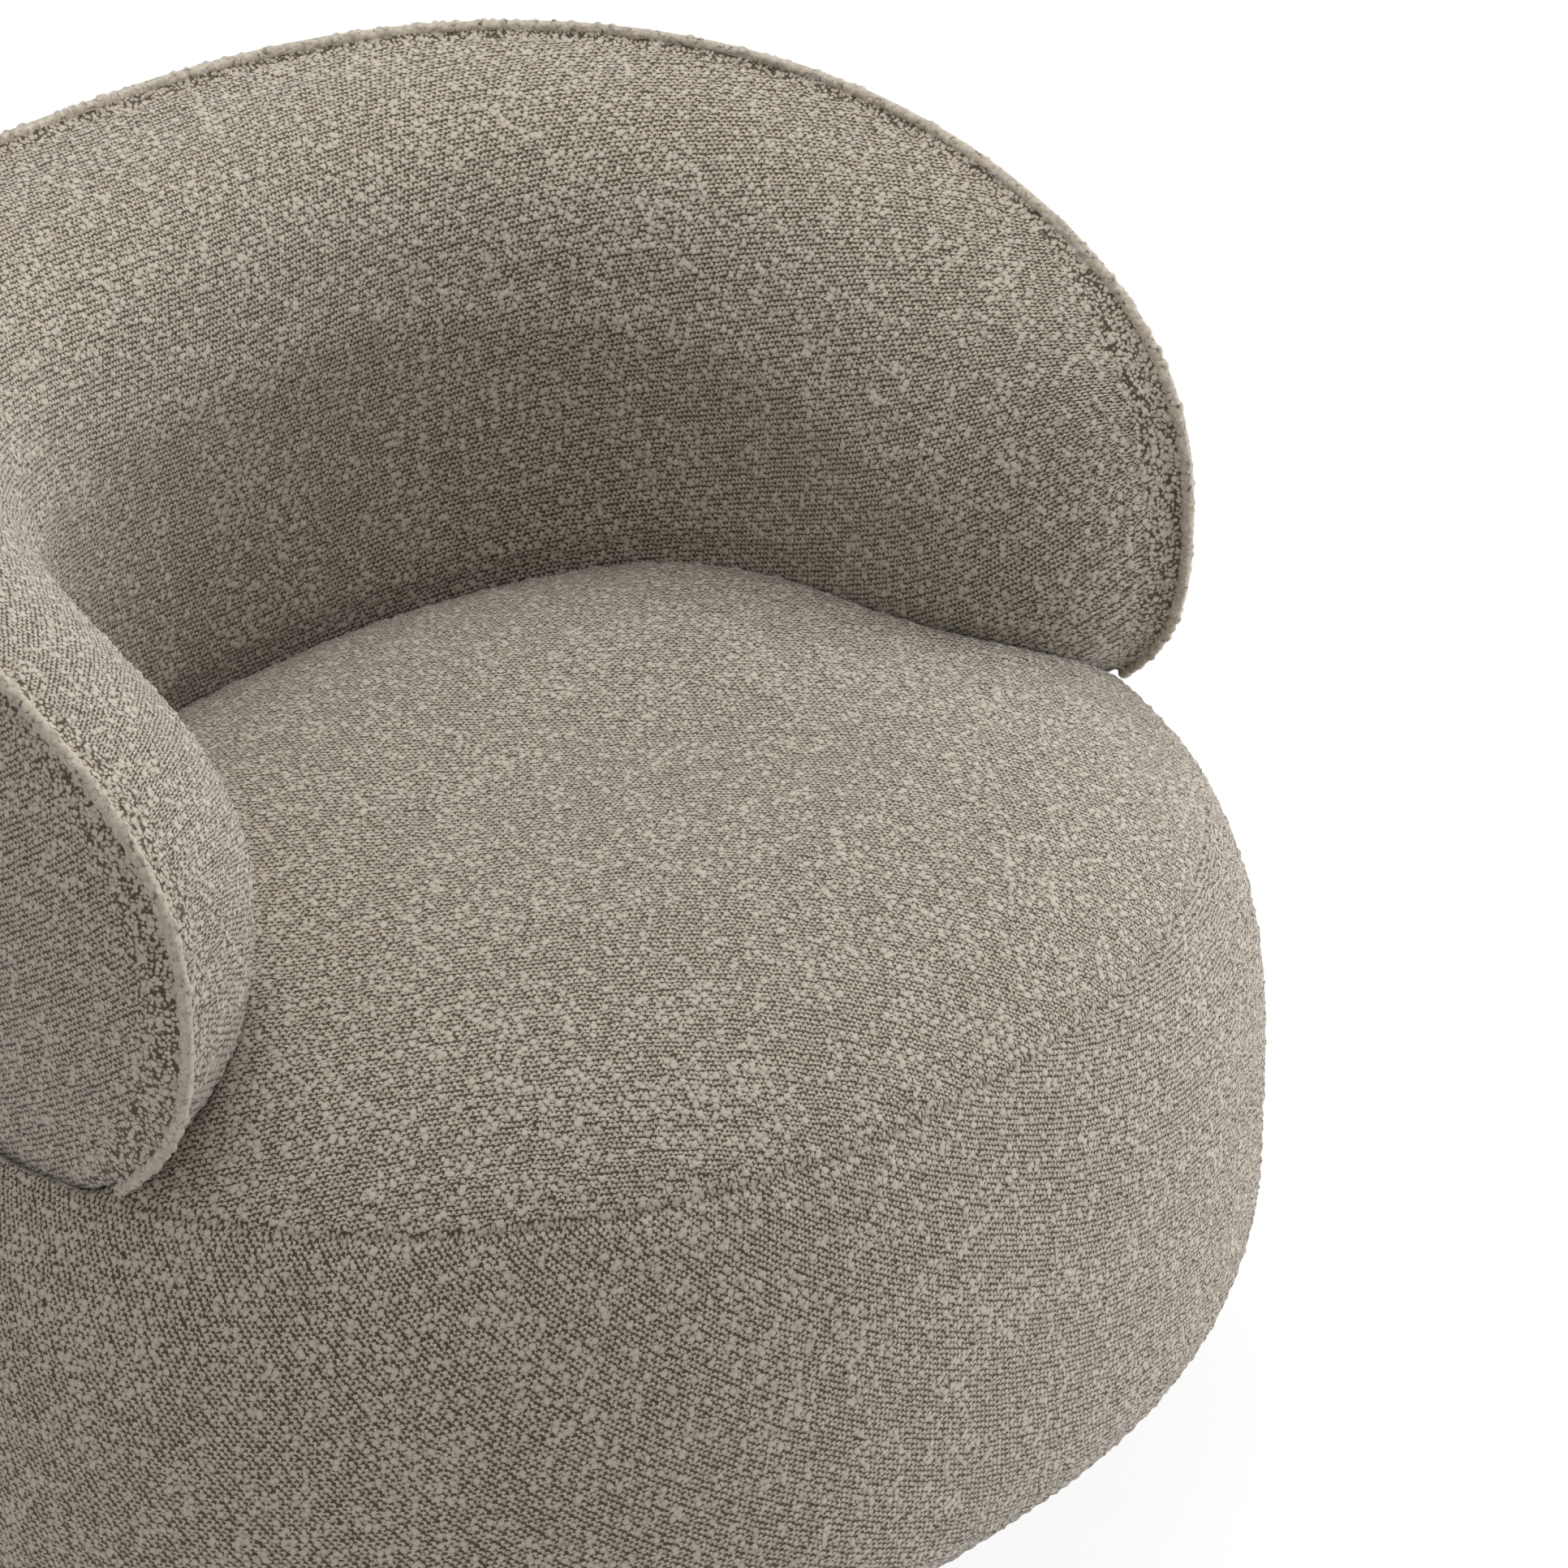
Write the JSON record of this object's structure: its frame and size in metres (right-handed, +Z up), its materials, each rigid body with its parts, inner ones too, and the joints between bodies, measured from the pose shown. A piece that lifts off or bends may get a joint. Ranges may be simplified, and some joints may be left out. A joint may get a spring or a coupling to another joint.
{
  "type": "swivel tub chair",
  "caption": "Low round tub chair: a ball-shaped upholstered seat with a wrap-round padded back, in looped boucle, that swivels on a hidden plinth.",
  "frame": {"origin": "on the floor under the middle of the chair's outer box, on the swivel's axis", "axes": "+Z up; the sitter faces -Y; +X is at the right hand of someone who looks along +Y"},
  "size_m": [0.8604, 0.7403, 0.708],
  "materials": {
    "boucle": "greige looped boucle, dark ground between the loops",
    "foam": "cut upholstery foam",
    "plywood": "raw birch plywood",
    "board": "raw hardboard",
    "black_wood": "matt black lacquer",
    "steel": "zinc plated",
    "nylon": "moulded nylon",
    "webbing": "elastic seat webbing",
    "dust_cloth": "black spunbonded cloth"
  },
  "bodies": {
    "base": {"glides": "nylon", "glide_screws": "steel", "plinth_board": "black_wood", "plinth_screws": "steel", "swivel_lower_plate": "steel", "swivel_balls": "steel", "swivel_ball_cage": "nylon", "swivel_rivet": "steel"},
    "chair": {"swivel_upper_plate": "steel", "swivel_bolts": "steel", "swivel_t_nuts": "steel", "base_board": "plywood", "seat_ribs": "plywood", "seat_top_ring": "plywood", "seat_webbing_long": "webbing", "seat_webbing_cross": "webbing", "seat_side_foam": "foam", "seat_foam": "foam", "seat_cover_top": "boucle", "seat_cover_band": "boucle", "dust_cover": "dust_cloth", "back_foot_rail": "plywood", "back_top_rail": "plywood", "back_posts": "plywood", "back_outer_board": "board", "back_inner_board": "board", "back_bolts": "steel", "back_washers": "steel", "back_t_nuts": "steel", "inside_back_foam": "foam", "outside_back_foam": "foam", "inside_back_cover": "boucle", "outside_back_cover": "boucle", "back_welt": "boucle"}
  },
  "joints": [
    {"name": "swivel", "type": "hinge", "parent": "base", "child": "chair", "pos_m": [0, 0, 0.037], "axis": [0, 0, 1], "continuous": true}
  ]
}
